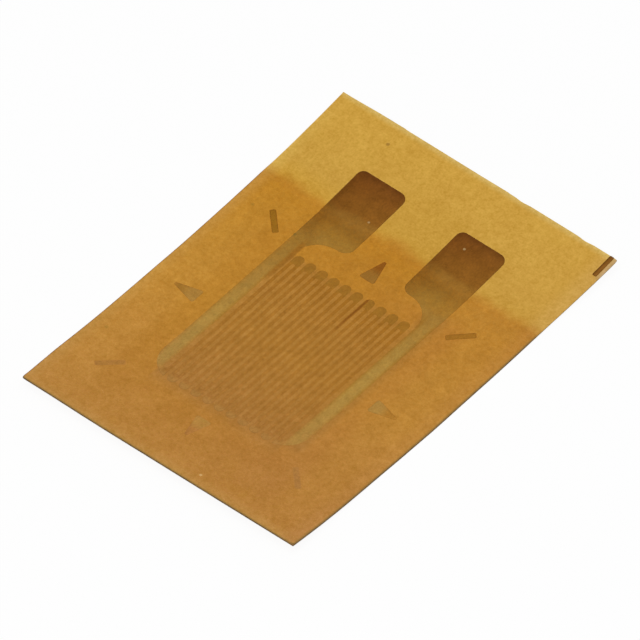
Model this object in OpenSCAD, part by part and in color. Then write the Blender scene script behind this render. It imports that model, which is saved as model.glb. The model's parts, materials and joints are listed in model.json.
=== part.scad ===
// Foil strain gauge: an etched metal grid with two solder tabs, held between
// a backing film and a cover film, lying with both ends curled up a little.
// Millimetres. The origin is on the bonding face, under the centre of the grid.
// +Y runs along the grid lines towards the solder tabs, +Z is up.

/* [Grid] */
// Number of parallel grid lines, an even number
line_count = 20; // [14:2:36]
// Width of one grid line
line_w = 0.1; // [0.06:0.01:0.16]
// Gap between two grid lines
line_gap = 0.1; // [0.06:0.01:0.16]
// Measuring base: free length of the lines between the end loops
base_l = 5; // [2:0.25:12]
// Length of an end loop, along the lines
loop_l = 0.3; // [0.15:0.05:0.5]
// Radius of an end loop's outer corners
loop_r = 0.1; // [0.05:0.01:0.13]

/* [Leads] */
// Width of the lead down each side of the grid
lead_w = 0.42; // [0.2:0.02:0.8]
// Gap between a lead and the outermost grid line
lead_gap = 0.13; // [0.08:0.01:0.3]
// Radius of a lead's outer corner, where it turns in under the grid
lead_corner_r = 0.85; // [0.3:0.05:1]

/* [Solder tabs] */
// Length of a tab, along the lines
tab_l = 2.55; // [1.8:0.05:5]
// Gap between the two tabs
tab_gap = 1.8; // [1.2:0.1:2.6]
// Distance from the grid's end to the tabs
tab_rise = 0.8; // [0.5:0.05:2]
// Radius of the two corners at a tab's tip
tab_tip_r = 0.2; // [0.05:0.05:0.4]
// Radius of a tab's inner corner next to the grid
tab_heel_r = 0.3; // [0.05:0.05:0.4]
// Radius of the fillet from a tab into its lead
tab_fillet_r = 0.8; // [0.2:0.05:1.2]

/* [Position marks] */
// Gap between the etched pattern and the base of a triangle
triangle_gap = 0.48; // [0.2:0.02:0.8]
// Width of a triangle's base
triangle_w = 0.52; // [0.3:0.01:0.8]
// Width of a triangle's blunt tip
triangle_tip_w = 0.08; // [0.02:0.01:0.2]
// Height of a triangle
triangle_h = 0.8; // [0.4:0.02:1.2]
// Sideways gap between a lead and the inner end of a diagonal mark
diagonal_side_gap = 0.4; // [0.2:0.05:0.8]
// Lengthways gap between the grid and the inner end of a diagonal mark
diagonal_end_gap = 0.25; // [0.1:0.05:0.8]
// Length of a diagonal mark
diagonal_l = 0.82; // [0.4:0.02:1.2]
// Width of a diagonal mark
diagonal_w = 0.18; // [0.06:0.01:0.3]

/* [Trim mark] */
// Width of the trim mark in the film's corner
trim_w = 0.14; // [0.06:0.01:0.3]
// Length of the trim mark, from the film's end
trim_l = 0.76; // [0.3:0.02:1.4]
// Distance from the trim mark to the film's side
trim_inset = 0.12; // [0.05:0.01:0.3]

/* [Film outline] */
// Bare film left of the left lead
left_margin = 2.05; // [1.8:0.05:4]
// Bare film right of the right lead
right_margin = 2.3; // [1.8:0.05:4]
// Bare film past the tips of the tabs
tab_end_margin = 1.675; // [0.5:0.025:4]
// Bare film past the far end of the grid
far_end_margin = 2.625; // [1.8:0.025:5]
// How far the cover film laps over the tabs
cover_lap = 1.1; // [0.4:0.05:1.5]

/* [Layers] */
// Thickness of the backing film
backing_t = 0.03; // [0.02:0.005:0.08]
// Thickness of the foil
foil_t = 0.004; // [0.003:0.001:0.01]
// Thickness of the cover film above the foil
cover_t = 0.02; // [0.01:0.005:0.05]

/* [Curl] */
// Length of the film's flat middle
flat_l = 3.6; // [3:0.1:6]
// Radius at which both ends curl up, at the bonding face
curl_r = 34.6; // [25:0.1:120]
// Number of narrow flats that make up each curled end
curl_flats = 8; // [4:1:16]

/* [Hidden] */
$fn = 48;
FILM_AMBER = [0.78, 0.60, 0.25];
COVER_ORANGE = [0.72, 0.50, 0.19];
FOIL_BROWN = [0.48, 0.32, 0.13];

// Directions from the grid's centre, in degrees
RIGHT = 0;
TAB_END = 90;
LEFT = 180;
FAR_END = 270;

// Grid: lines side by side, closed at both ends by the end loops
line_pitch = line_w + line_gap;
grid_half_w = (line_count * line_pitch - line_gap) / 2;
grid_half_l = base_l / 2 + loop_l;
loop_w = line_pitch + line_w;

// Leads run down both sides of the grid, in one straight line with the tabs' outer edges
lead_inner_x = grid_half_w + lead_gap;
lead_outer_x = lead_inner_x + lead_w;

// The turn at a lead's end is never rounded so far that it gets narrower than a grid line
lead_turn = lead_w + loop_l - line_w;
lead_turn_spare = 2 * max(0, lead_w - line_w) * max(0, loop_l - line_w);
corner_r = min(lead_corner_r, lead_turn + sqrt(lead_turn_spare));

// Tabs: heel is the end next to the grid, tip is the far one
tab_inner_x = tab_gap / 2;
tab_w = lead_outer_x - tab_inner_x;
tab_heel_y = grid_half_l + tab_rise;
tab_tip_y = tab_heel_y + tab_l;
fillet_r = min(tab_fillet_r, tab_w - lead_w - tab_heel_r, tab_rise);

// Film: its edges stand off the etched pattern by the margins
film_left_x = -lead_outer_x - left_margin;
film_right_x = lead_outer_x + right_margin;
film_far_y = -grid_half_l - far_end_margin;
film_tab_y = tab_tip_y + tab_end_margin;
film_w = film_right_x - film_left_x;
film_l = film_tab_y - film_far_y;
film_mid_y = (film_tab_y + film_far_y) / 2;
cover_front_y = tab_heel_y + cover_lap;

// Curl: the ends turn up about two axes above the ends of the flat middle,
// and every sheet runs on a little before its outline is cut
sheet_overrun = 0.5;
curl_reach = (film_l - flat_l) / 2 + sheet_overrun;
curl_angle = asin(curl_reach / curl_r);
sheet_top = curl_r * (1 - cos(curl_angle)) + backing_t + foil_t + cover_t;

// Curled sheets

// A point of the curl, in [y, z] from the film's middle, at height z over the bonding face
function curl_point(side, angle, z) = [
    side * (flat_l / 2 + (curl_r - z) * sin(angle)),
    curl_r - (curl_r - z) * cos(angle)
];

// The curl at one height, from the far end to the tab end
function curl_line(z) = concat(
    [for (i = [curl_flats : -1 : 0]) curl_point(-1, i * curl_angle / curl_flats, z)],
    [for (i = [0 : curl_flats]) curl_point(1, i * curl_angle / curl_flats, z)]
);

function reversed(list) = [for (i = [len(list) - 1 : -1 : 0]) list[i]];

// A sheet as wide as the film that lies from height z to z + t, flat in the middle
// and curled up at both ends
module curled_sheet(z, t) {
    translate([film_left_x, film_mid_y, 0])
        rotate([90, 0, 90])
            linear_extrude(film_w)
                polygon(concat(curl_line(z), reversed(curl_line(z + t))));
}

// The part of such a sheet inside a flat outline
module cut_sheet(z, t) {
    intersection() {
        curled_sheet(z, t);
        linear_extrude(sheet_top)
            children();
    }
}

// A piece etched from the foil, on top of the backing film
module foil_piece() {
    cut_sheet(backing_t, foil_t)
        children();
}

// Outlines of the etched foil

// A square from the origin, with its far corner rounded
module round_corner_square(size, r) {
    square([size[0] - r, size[1]]);
    square([size[0], size[1] - r]);
    translate([size[0] - r, size[1] - r])
        circle(r);
}

// What is left of a square corner outside a round one, with its sharp corner at the origin
module corner_web(r) {
    difference() {
        square(r);
        translate([r, r])
            circle(r);
    }
}

// The end loop that joins two lines, standing on the lines' end at y = 0
module end_loop() {
    for (side = [0, 1])
        mirror([side, 0])
            round_corner_square([loop_w / 2, loop_l], loop_r);
}

// The grid lines with the loops that join them in pairs at the tab end,
// and in pairs shifted by one at the far end
module grid_outline() {
    for (i = [0 : line_count - 1])
        translate([-grid_half_w + i * line_pitch, -base_l / 2])
            square([line_w, base_l]);
    for (i = [0 : line_count / 2 - 1])
        translate([-grid_half_w + loop_w / 2 + 2 * i * line_pitch, base_l / 2])
            end_loop();
    for (i = [1 : line_count / 2 - 1])
        translate([-grid_half_w + loop_w / 2 + (2 * i - 1) * line_pitch, -base_l / 2])
            mirror([0, 1])
                end_loop();
}

// The right tab with its lead, which turns in under the grid to the outermost line
module tab_and_lead_outline() {
    foot_x = grid_half_w - line_w;
    difference() {
        union() {
            translate([lead_inner_x, -grid_half_l])
                square([lead_w, grid_half_l + tab_heel_y]);
            translate([foot_x, -grid_half_l])
                square([lead_outer_x - foot_x, loop_l]);
        }
        translate([lead_outer_x, -grid_half_l])
            mirror([1, 0])
                corner_web(corner_r);
    }
    difference() {
        translate([tab_inner_x, tab_heel_y])
            square([tab_w, tab_l]);
        translate([tab_inner_x, tab_heel_y])
            corner_web(tab_heel_r);
        translate([tab_inner_x, tab_tip_y])
            mirror([0, 1])
                corner_web(tab_tip_r);
        translate([lead_outer_x, tab_tip_y])
            rotate(180)
                corner_web(tab_tip_r);
    }
    translate([lead_inner_x, tab_heel_y])
        rotate(180)
            corner_web(fillet_r);
}

module foil_grid_outline() {
    grid_outline();
    for (side = [0, 1])
        mirror([side, 0])
            tab_and_lead_outline();
}

// A triangle with a blunt tip that points away from the grid, at the given distance and direction
module triangle_outline(distance, direction) {
    rotate(direction)
        translate([distance + triangle_gap, 0])
            polygon([
                [0, -triangle_w / 2],
                [triangle_h, -triangle_tip_w / 2],
                [triangle_h, triangle_tip_w / 2],
                [0, triangle_w / 2]
            ]);
}

// A short stroke that points away from a corner of the grid
module diagonal_outline(x_side, y_side) {
    mirror([x_side == LEFT ? 1 : 0, 0])
        mirror([0, y_side == FAR_END ? 1 : 0])
            translate([lead_outer_x + diagonal_side_gap, grid_half_l + diagonal_end_gap])
                rotate(45)
                    translate([0, -diagonal_w / 2])
                        square([diagonal_l, diagonal_w]);
}

module trim_outline() {
    translate([film_right_x - trim_inset - trim_w, film_tab_y - trim_l])
        square([trim_w, trim_l]);
}

// Outlines of the films

module film_outline(from_y, to_y) {
    translate([film_left_x, from_y])
        square([film_w, to_y - from_y]);
}

// Pieces

module backing_film() {
    color(FILM_AMBER)
        cut_sheet(0, backing_t)
            film_outline(film_far_y, film_tab_y);
}

module foil_grid() {
    color(FOIL_BROWN)
        foil_piece()
            foil_grid_outline();
}

// Lies on the backing film and on the foil, and fills the gaps between the foil's edges
module cover_film() {
    color(COVER_ORANGE)
        difference() {
            cut_sheet(backing_t, foil_t + cover_t)
                film_outline(film_far_y, cover_front_y);
            foil_grid();
            tab_end_mark();
            far_end_mark();
            for (x_side = [LEFT, RIGHT]) {
                side_mark(x_side);
                for (y_side = [TAB_END, FAR_END])
                    diagonal_mark(x_side, y_side);
            }
        }
}

module tab_end_mark() {
    color(FOIL_BROWN)
        foil_piece()
            triangle_outline(grid_half_l, TAB_END);
}

module far_end_mark() {
    color(FOIL_BROWN)
        foil_piece()
            triangle_outline(grid_half_l, FAR_END);
}

module side_mark(x_side) {
    color(FOIL_BROWN)
        foil_piece()
            triangle_outline(lead_outer_x, x_side);
}

module diagonal_mark(x_side, y_side) {
    color(FOIL_BROWN)
        foil_piece()
            diagonal_outline(x_side, y_side);
}

module trim_mark() {
    color(FOIL_BROWN)
        foil_piece()
            trim_outline();
}

backing_film();
foil_grid();
cover_film();
tab_end_mark();
far_end_mark();
side_mark(LEFT);  // left_side_mark
side_mark(RIGHT);  // right_side_mark
diagonal_mark(LEFT, TAB_END);  // tab_left_diagonal
diagonal_mark(RIGHT, TAB_END);  // tab_right_diagonal
diagonal_mark(LEFT, FAR_END);  // far_left_diagonal
diagonal_mark(RIGHT, FAR_END);  // far_right_diagonal
trim_mark();
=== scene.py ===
# %% [markdown]
# # A foil strain gauge
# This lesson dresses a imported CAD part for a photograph-like picture. The object is a foil strain
# gauge: a thin amber plastic film that carries a zigzag of metal foil, and that is glued onto
# machines and bridges to measure how much they stretch. It is about as big as a fingernail.
# The CAD model is the frame of the lesson. It is loaded once, it is never moved, and every piece
# made below lies where its CAD solid lies. All lengths in Blender are metres here, so values that
# are easier to read in millimetres are multiplied by MM.

# %% Load the frame
import json
import math

import bmesh
import bpy
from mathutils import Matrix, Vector, noise

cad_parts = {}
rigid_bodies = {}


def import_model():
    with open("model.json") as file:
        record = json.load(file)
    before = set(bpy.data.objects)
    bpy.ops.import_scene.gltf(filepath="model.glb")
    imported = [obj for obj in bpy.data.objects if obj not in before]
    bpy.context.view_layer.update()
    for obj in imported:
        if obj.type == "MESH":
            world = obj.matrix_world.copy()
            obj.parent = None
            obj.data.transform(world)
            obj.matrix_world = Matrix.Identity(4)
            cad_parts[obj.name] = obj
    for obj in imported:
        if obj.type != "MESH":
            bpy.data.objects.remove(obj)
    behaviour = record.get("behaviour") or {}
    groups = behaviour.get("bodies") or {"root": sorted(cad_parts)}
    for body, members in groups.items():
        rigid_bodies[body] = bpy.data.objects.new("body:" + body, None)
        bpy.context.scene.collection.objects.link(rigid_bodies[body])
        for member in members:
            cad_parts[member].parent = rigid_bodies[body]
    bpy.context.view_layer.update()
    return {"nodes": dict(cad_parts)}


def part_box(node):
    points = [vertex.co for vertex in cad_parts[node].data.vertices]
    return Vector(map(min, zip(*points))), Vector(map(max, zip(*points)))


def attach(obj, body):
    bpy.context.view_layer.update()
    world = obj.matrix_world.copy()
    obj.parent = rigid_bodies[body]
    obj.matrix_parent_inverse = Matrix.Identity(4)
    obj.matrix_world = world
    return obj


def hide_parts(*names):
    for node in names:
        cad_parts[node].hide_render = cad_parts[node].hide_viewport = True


for leftover in list(bpy.data.objects):
    bpy.data.objects.remove(leftover)
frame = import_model()
MM = 0.001

# %% [markdown]
# ## The curl of the film
# A gauge that comes out of its folder never lies quite flat: both ends curl up a little. The film
# could be bent with a Simple Deform modifier, but then every layer would need the same modifier
# with the same settings. One formula is safer: it gives the height of any layer at any place along
# the film, so that the films and the foil nest in each other exactly. The formula needs only two
# numbers, the length of the flat middle and the radius of the curl, and both are measured from the
# CAD solid.

# %% Measure the curl
film_low, film_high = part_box("backing_film")
foil_low, foil_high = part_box("foil_grid")
side_low, side_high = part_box("left_side_mark")
cover_low, cover_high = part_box("cover_film")

film_points = [v.co for v in frame["nodes"]["backing_film"].data.vertices]
flat_points = [p.y for p in film_points if p.z < 0.0005 * MM]
flat_from, flat_to = min(flat_points), max(flat_points)
end_reach = film_high.y - flat_to
end_rise = min(p.z for p in film_points if p.y > film_high.y - 0.01 * MM)
curl_r = (end_reach**2 + end_rise**2) / (2 * end_rise)


def curl_height(y, layer):
    """Height at y of a layer that lies this far above the bonding face."""
    past_flat = max(y - flat_to, flat_from - y, 0.0)
    return curl_r - math.sqrt((curl_r - layer) ** 2 - past_flat**2)


print("flat from", round(flat_from / MM, 2), "to", round(flat_to / MM, 2), "mm")
print("curl radius", round(curl_r / MM, 2), "mm, ends raised", round(end_rise / MM, 3), "mm")

# %% [markdown]
# ## Layers
# From below, the gauge is backing film, foil and cover film. The side triangle stands in the flat
# middle, so its box gives the heights of the foil's lower and upper face. Where two layers touch,
# the upper one is sunk a few thousandths of a millimetre into the lower one. Two faces at exactly
# the same height would flicker in the render, because Blender couldn't tell which one is in front.
# The heights could be typed in, but measured ones stay right if the CAD model changes.

# %% Heights of the layers
backing_top = side_low.z
foil_top = side_high.z
end_past_flat = cover_low.y - flat_from
cover_top = curl_r - math.hypot(curl_r - cover_high.z, end_past_flat)
bite = 0.003 * MM
print("backing", backing_top / MM, "foil", foil_top / MM, "cover", cover_top / MM, "mm")

# %% [markdown]
# ## Cutting the film
# The film was cut out with a knife, so its edges aren't perfect lines. They wander by about a
# hundredth of a millimetre, the blade stopped and started again at the tab end, which left small
# steps and dips, the side edges are a little hollow, and two edges lean in towards the far left
# corner. Near the tab end the left edge is as it was drawn. A Displace modifier could move the
# edges, but it would also move the middle. A function that shifts a point by an amount that dies out
# a short way in from the edge moves the edges alone, and both films can share it, because they were
# cut together. Every shift goes inwards, so the film never grows.

# %% Waves and dents of a knife cut
SLOW_WAVE = {"per_mm": 0.45, "row": 0.5, "depth": 0.005}
FINE_WAVE = {"per_mm": 2.3, "row": 7.5, "depth": 0.002}


def fade(distance, depth):
    """One at distance zero, falling smoothly to zero at this depth."""
    share = max(0.0, 1.0 - distance / depth)
    return share * share * (3 - 2 * share)


def wander(place, seed):
    """A slow wave with a fine ripple on it, for a knife cut; never below zero."""
    total = 0.0
    for wave in (SLOW_WAVE, FINE_WAVE):
        at = Vector((place / MM * wave["per_mm"], seed, wave["row"]))
        total += wave["depth"] * (1 + noise.noise(at))
    return total * MM


def dents(place, shapes):
    """Depth at a place of soft dents, each with its middle, its depth and its half width."""
    return sum(depth * fade(abs(place / MM - middle), half) for middle, depth, half in shapes)


print("a cut wanders by up to", 2 * (SLOW_WAVE["depth"] + FINE_WAVE["depth"]), "mm")

# %% Marks of the blade at the tab end
BLADE_STEPS = [(-2.45, 1.2), (1.05, 0.9)]
BLADE_DIPS = [(-4.4, 0.026, 1.2), (1.55, 0.022, 0.3), (3.7, 0.024, 0.3)]
step_depth = 0.008


def blade_marks(x):
    """Steps and dips that the blade left at the tab end, at this place across the film."""
    depth = step_depth
    for step_x, run in BLADE_STEPS:
        before = step_x - x / MM
        if 0 <= before < run:
            depth *= before / run
    return (depth + dents(x, BLADE_DIPS)) * MM


tries = 200
film_w = film_high.x - film_low.x
deepest = max(blade_marks(film_low.x + film_w * k / tries) for k in range(tries + 1))
print("the blade cut the tab end back by up to", round(deepest / MM, 3), "mm")

# %% Edge shift of both films
LEFT_HOLLOWS = [(1.5, 0.03, 3.2)]
RIGHT_HOLLOWS = [(1.5, 0.022, 8.5), (-1.9, 0.03, 2.6), (1.9, 0.014, 1.8), (4.8, 0.05, 3.4)]
SEEDS = {"left": 1.3, "right": 4.7, "far": 8.1, "tab": 12.9}
edge_depth = 0.35 * MM
side_lean = 0.055 * MM
side_lean_run = 1.7 * MM
whole_run = 2.6 * MM
far_cut = 0.011 * MM
far_lean = 0.036 * MM
far_lean_run = 3.6 * MM
tab_wander = 0.1
blunt_by = 0.012 * MM
blunt_r = 0.1 * MM


def cut_shift(x, y):
    """Where a point of the ideal film lies on the cut one."""
    left = fade(x - film_low.x, edge_depth)
    right = fade(film_high.x - x, edge_depth)
    far = fade(y - film_low.y, edge_depth)
    tab = fade(film_high.y - y, edge_depth)
    cut_in = 1 - fade(film_high.y - y, whole_run)
    dx = left * cut_in * (wander(y, SEEDS["left"]) + dents(y, LEFT_HOLLOWS) * MM)
    dx += left * side_lean * fade(y - film_low.y, side_lean_run)
    dx -= right * (wander(y, SEEDS["right"]) + dents(y, RIGHT_HOLLOWS) * MM)
    lean = far_lean * fade(x - film_low.x, far_lean_run)
    dy = far * (far_cut + wander(x, SEEDS["far"]) + lean)
    dy -= tab * (tab_wander * wander(x, SEEDS["tab"]) + blade_marks(x))
    for corner, inwards in ((film_low, 1), (film_high, -1)):
        away = math.hypot(x - corner.x, y - corner.y)
        blunt = inwards * blunt_by * fade(away, blunt_r)
        dx += blunt
        dy += blunt
    return x + dx, y + dy


middle_right = cut_shift(film_high.x, 0.0)[0]
print("right edge cut back by", round((film_high.x - middle_right) / MM, 3), "mm at the middle")

# %% [markdown]
# ## A sheet of film
# A film is a closed sheet: a grid of small faces on top, the same grid below, and a wall round the
# edge. A cube with a Subdivision Surface modifier would round the corners, and a plane with a
# Solidify modifier couldn't taper. Building the grid in bmesh gives full control: rows and columns
# may be closer where the shape needs it, and each height comes from the curl formula. The wall gets
# its own material slot, because the cut edge of a film looks darker than its face, and the underside
# may have one too. A vertex attribute, rim, marks how dark the film is at each edge, and fades to
# zero one column further in.

# %% Spaced places and linked pieces
sharp_from = math.radians(25)


def spaced(low, high, step, extra=()):
    """Evenly spaced places from low to high, with extra ones in between."""
    count = max(1, round((high - low) / step))
    even = [low + (high - low) * i / count for i in range(count + 1)]
    return sorted(set(even) | {place for place in extra if low < place < high})


def link_piece(name, bm, finishes):
    """Turns a bmesh into an object that rides on the gauge."""
    mesh = bpy.data.meshes.new(name)
    bm.to_mesh(mesh)
    bm.free()
    for finish in finishes:
        mesh.materials.append(finish)
    mesh.shade_smooth()
    mesh.set_sharp_from_angle(angle=sharp_from)
    piece = bpy.data.objects.new(name, mesh)
    bpy.context.scene.collection.objects.link(piece)
    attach(piece, "root")
    return piece


print("edges sharper than", round(math.degrees(sharp_from)), "degrees stay sharp")

# %% How dark the rim is
RIM_DARK = {"left": 0.3, "right": 1.0, "far": 1.0}
rim_bare = 0.35
rim_change_from = 0.5 * MM
rim_change_run = 0.8 * MM


def rim_value(x, y):
    """How dark the film's rim is at a point of the ideal film; zero away from the edges."""
    covered = fade(max(0.0, y - cover_high.y + rim_change_from), rim_change_run)
    shown = rim_bare + (1 - rim_bare) * covered
    at_edge = {
        "left": x == film_low.x,
        "right": x == film_high.x,
        "far": y == film_low.y,
    }
    return shown * max(RIM_DARK[side] if there else 0.0 for side, there in at_edge.items())


print("rim at the left", rim_value(film_low.x, 0.0), "and at the right", rim_value(film_high.x, 0.0))

# %% Points and edge of a sheet
sheet_step = 0.1 * MM


def sheet_points(bm, rim, columns, rows, height):
    """Rows of points on the cut film, at a height that is a function of x and y."""
    side = []
    for y in rows:
        row = []
        for x in columns:
            px, py = cut_shift(x, y)
            row.append(bm.verts.new((px, py, height(px, py))))
            row[-1][rim] = rim_value(x, y)
        side.append(row)
    return side


def edge_walk(last_i, last_j):
    """Columns and rows met on a walk round a sheet's edge."""
    walk = [(i, 0) for i in range(last_i + 1)]
    walk += [(last_i, j) for j in range(1, last_j + 1)]
    walk += [(i, last_j) for i in range(last_i - 1, -1, -1)]
    walk += [(0, j) for j in range(last_j - 1, 0, -1)]
    return walk


print("sheets have a column and a row about every", sheet_step / MM, "mm")

# %% Helper that builds a sheet
wall_slot = 1


def sheet_mesh(columns, rows, low_height, high_height, under_slot=0):
    """A closed sheet over columns and rows, between two height functions of x and y."""
    bm = bmesh.new()
    rim = bm.verts.layers.float.new("rim")
    low = sheet_points(bm, rim, columns, rows, low_height)
    high = sheet_points(bm, rim, columns, rows, high_height)
    last_i, last_j = len(columns) - 1, len(rows) - 1
    for j in range(last_j):
        for i in range(last_i):
            bm.faces.new((high[j][i], high[j][i + 1], high[j + 1][i + 1], high[j + 1][i]))
            under = bm.faces.new((low[j][i], low[j + 1][i], low[j + 1][i + 1], low[j][i + 1]))
            under.material_index = under_slot
    walk = edge_walk(last_i, last_j)
    for k in range(len(walk)):
        i, j = walk[k]
        m, n = walk[(k + 1) % len(walk)]
        wall = bm.faces.new((low[j][i], low[n][m], high[n][m], high[j][i]))
        wall.material_index = wall_slot
    return bm


print("a sheet's wall has material slot", wall_slot)

# %% [markdown]
# ## Words for making materials
# Materials are made of nodes. In the editor they are wired by hand; in a script, a helper that adds
# a node, sets its values and wires its inputs keeps each material readable. Places on the gauge are
# given in millimetres, from the grid's centre: Object coordinates times a thousand. They stay the
# same wherever the camera is, so a finish that depends on the place is part of the object.


# %% Colours and nodes
def tint(red, green, blue):
    """A colour as a screen shows it, 0 to 255, turned into the linear values Blender wants."""
    linear = []
    for level in (red, green, blue):
        share = level / 255
        linear.append(share / 12.92 if share <= 0.04045 else ((share + 0.055) / 1.055) ** 2.4)
    return (*linear, 1.0)


def add_node(tree, kind, inputs=None, **settings):
    """Adds a node; each input is either wired from a socket or set to a value."""
    made = tree.nodes.new(kind)
    for name, value in settings.items():
        setattr(made, name, value)
    for place, value in (inputs or {}).items():
        if isinstance(value, bpy.types.NodeSocket):
            tree.links.new(value, made.inputs[place])
        else:
            made.inputs[place].default_value = value
    return made


print("a screen's middle grey is", round(tint(128, 128, 128)[0], 3), "in linear light")


# %% Arithmetic, ramps and blends
def calc(tree, operation, first, second=0.0, third=0.0):
    """Arithmetic on two values, or on three for MULTIPLY_ADD."""
    values = {0: first, 1: second, 2: third}
    return add_node(tree, "ShaderNodeMath", values, operation=operation).outputs[0]


def ramp(tree, value, start, end):
    """Rises smoothly from 0 at start to 1 at end; start may be the larger one."""
    low, high = min(start, end), max(start, end)
    ends = {"Value": value, "From Min": low, "From Max": high}
    ends["To Min"] = 0.0 if start < end else 1.0
    ends["To Max"] = 1.0 if start < end else 0.0
    return add_node(tree, "ShaderNodeMapRange", ends, interpolation_type="SMOOTHSTEP").outputs[0]


def blend(tree, share, first, second, how="MIX"):
    """Mixes two colours; sockets 6 and 7 of the Mix node are its colours, and 2 is the result."""
    parts = {0: share, 6: first, 7: second}
    return add_node(tree, "ShaderNodeMix", parts, data_type="RGBA", blend_type=how).outputs[2]


def tones(tree, value, stops):
    """A colour that follows a value through stops of (value, colour), lowest value first."""
    low, high = stops[0][0], stops[-1][0]
    span = {"Value": value, "From Min": low, "From Max": high}
    share = add_node(tree, "ShaderNodeMapRange", span).outputs[0]
    chart = add_node(tree, "ShaderNodeValToRGB", {"Fac": share})
    chart.color_ramp.elements[0].color = stops[0][1]
    chart.color_ramp.elements[1].color = stops[-1][1]
    for at, colour in stops[1:-1]:
        chart.color_ramp.elements.new((at - low) / (high - low)).color = colour
    return chart.outputs[0]


print("helpers:", ", ".join(helper.__name__ for helper in (calc, ramp, blend, tones)))


# %% Grain, places and empty finishes
def grain(tree, place, scale, detail=2.0, stretch=(1.0, 1.0, 1.0)):
    """Noise with this many bumps per millimetre, from about 0 to 1."""
    if stretch != (1.0, 1.0, 1.0):
        scaled = {0: place, 1: stretch}
        place = add_node(tree, "ShaderNodeVectorMath", scaled, operation="MULTIPLY").outputs[0]
    settings = {"Vector": place, "Scale": scale, "Detail": detail}
    return add_node(tree, "ShaderNodeTexNoise", settings).outputs[0]


def place_on_gauge(tree):
    """The place in mm as a vector, and its x and y."""
    coordinates = add_node(tree, "ShaderNodeTexCoord")
    to_mm = {0: coordinates.outputs["Object"], "Scale": 1 / MM}
    place = add_node(tree, "ShaderNodeVectorMath", to_mm, operation="SCALE").outputs[0]
    parts = add_node(tree, "ShaderNodeSeparateXYZ", {0: place})
    return place, parts.outputs[0], parts.outputs[1]


def new_finish(name):
    """An empty material with its shader."""
    finish = bpy.data.materials.new(name)
    finish.use_nodes = True
    tree = finish.node_tree
    return finish, tree, tree.nodes["Principled BSDF"]


print("helpers:", ", ".join(helper.__name__ for helper in (grain, place_on_gauge, new_finish)))

# %% [markdown]
# ## Where the cover film ends
# The cover film stops short of the tabs' tips, so that wires can be soldered to bare metal. Its
# front edge is soft, because glue was pressed out a little in front of it. Cover, foil and backing
# all change their look there, so the edge is one helper: a ramp along y whose start is moved to and
# fro by noise. A sharp mesh edge alone would look like a cut, and the real one doesn't.

# %% Soft front edge of the cover
cover_front = cover_high.y / MM
front_soft = 0.26
front_bulge = 0.09
front_sway = 0.15
front_ripple = 0.12


def under_cover(tree, place, x, y):
    """One under the cover film, zero in front of it, with a soft wavy edge."""
    waves = grain(tree, place, 0.55, 1.0)
    sway = calc(tree, "MULTIPLY_ADD", waves, 2 * front_sway, -front_sway)
    ripples = grain(tree, place, 3.0, 2.0)
    ripple = calc(tree, "MULTIPLY_ADD", ripples, 2 * front_ripple, -front_ripple)
    between_tabs = ramp(tree, calc(tree, "ABSOLUTE", x), 0.6, 0.1)
    moved = calc(tree, "MULTIPLY_ADD", between_tabs, -front_bulge, y)
    moved = calc(tree, "ADD", calc(tree, "ADD", moved, sway), ripple)
    return ramp(tree, moved, cover_front + front_soft, cover_front - front_soft)


print("cover ends at y =", round(cover_front, 2), "mm")

# %% [markdown]
# ## The amber film
# Polyimide film is a clear amber plastic. On a white table it glows golden yellow, with soft cloudy
# patches and a fine grain from the casting drum. A flat yellow would look like paper. Layers of
# noise, each at its own scale, make clouds, mottling and grain. The tone also drifts: paler at the
# left than at the right, and browner near the foil and between its lines, because light that
# enters there is partly caught under the metal. So colours along y at both sides are mixed across,
# and the zones round the foil are blended over them. The tones come first, as stops of a Color Ramp.

# %% Tones of the amber film
LEFT_TONES = [
    (-5.0, tint(211, 165, 65)),
    (-1.5, tint(212, 165, 69)),
    (2.4, tint(208, 163, 62)),
    (4.3, tint(207, 160, 54)),
    (4.8, tint(203, 155, 57)),
    (5.4, tint(203, 157, 65)),
    (7.45, tint(206, 159, 64)),
]
RIGHT_TONES = [
    (-5.0, tint(205, 158, 61)),
    (-1.5, tint(197, 153, 67)),
    (2.4, tint(201, 157, 66)),
    (4.3, tint(205, 160, 66)),
    (4.8, tint(200, 153, 62)),
    (5.4, tint(202, 155, 65)),
    (7.45, tint(204, 157, 64)),
]
NEAR_TONES = [
    (-2.8, tint(200, 153, 54)),
    (0.0, tint(196, 149, 53)),
    (2.8, tint(195, 148, 64)),
]
MIDDLE_TONES = [
    (3.4, tint(196, 150, 55)),
    (4.3, tint(203, 155, 52)),
    (4.8, tint(200, 152, 57)),
    (5.2, tint(200, 153, 60)),
]
GRID_TONES = [
    (-2.0, tint(178, 142, 66)),
    (2.0, tint(174, 138, 63)),
]
STREAK_BROWN = tint(123, 100, 35)
PALE_MARGIN = tint(218, 177, 85)
RIGHT_MARGIN = tint(204, 159, 79)
PALE_CORNER = tint(194, 160, 112)
PALE_TAB_END = tint(212, 177, 96)
print(len(LEFT_TONES), "tones along the film's left side,", len(RIGHT_TONES), "along the right")

# %% Clouds, grain and the browner rim
PATCHES = {"layers": ((0.35, 0.06), (2.1, 0.34)), "reach": (0.85, 1.25, 2.2)}
GRAIN = {"layers": ((8.0, 0.48), (19.0, 0.56)), "reach": (1.0, 1.3, 2.9)}
EDGE_BROWN = tint(104, 80, 44)
noise_spread = 0.35


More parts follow.
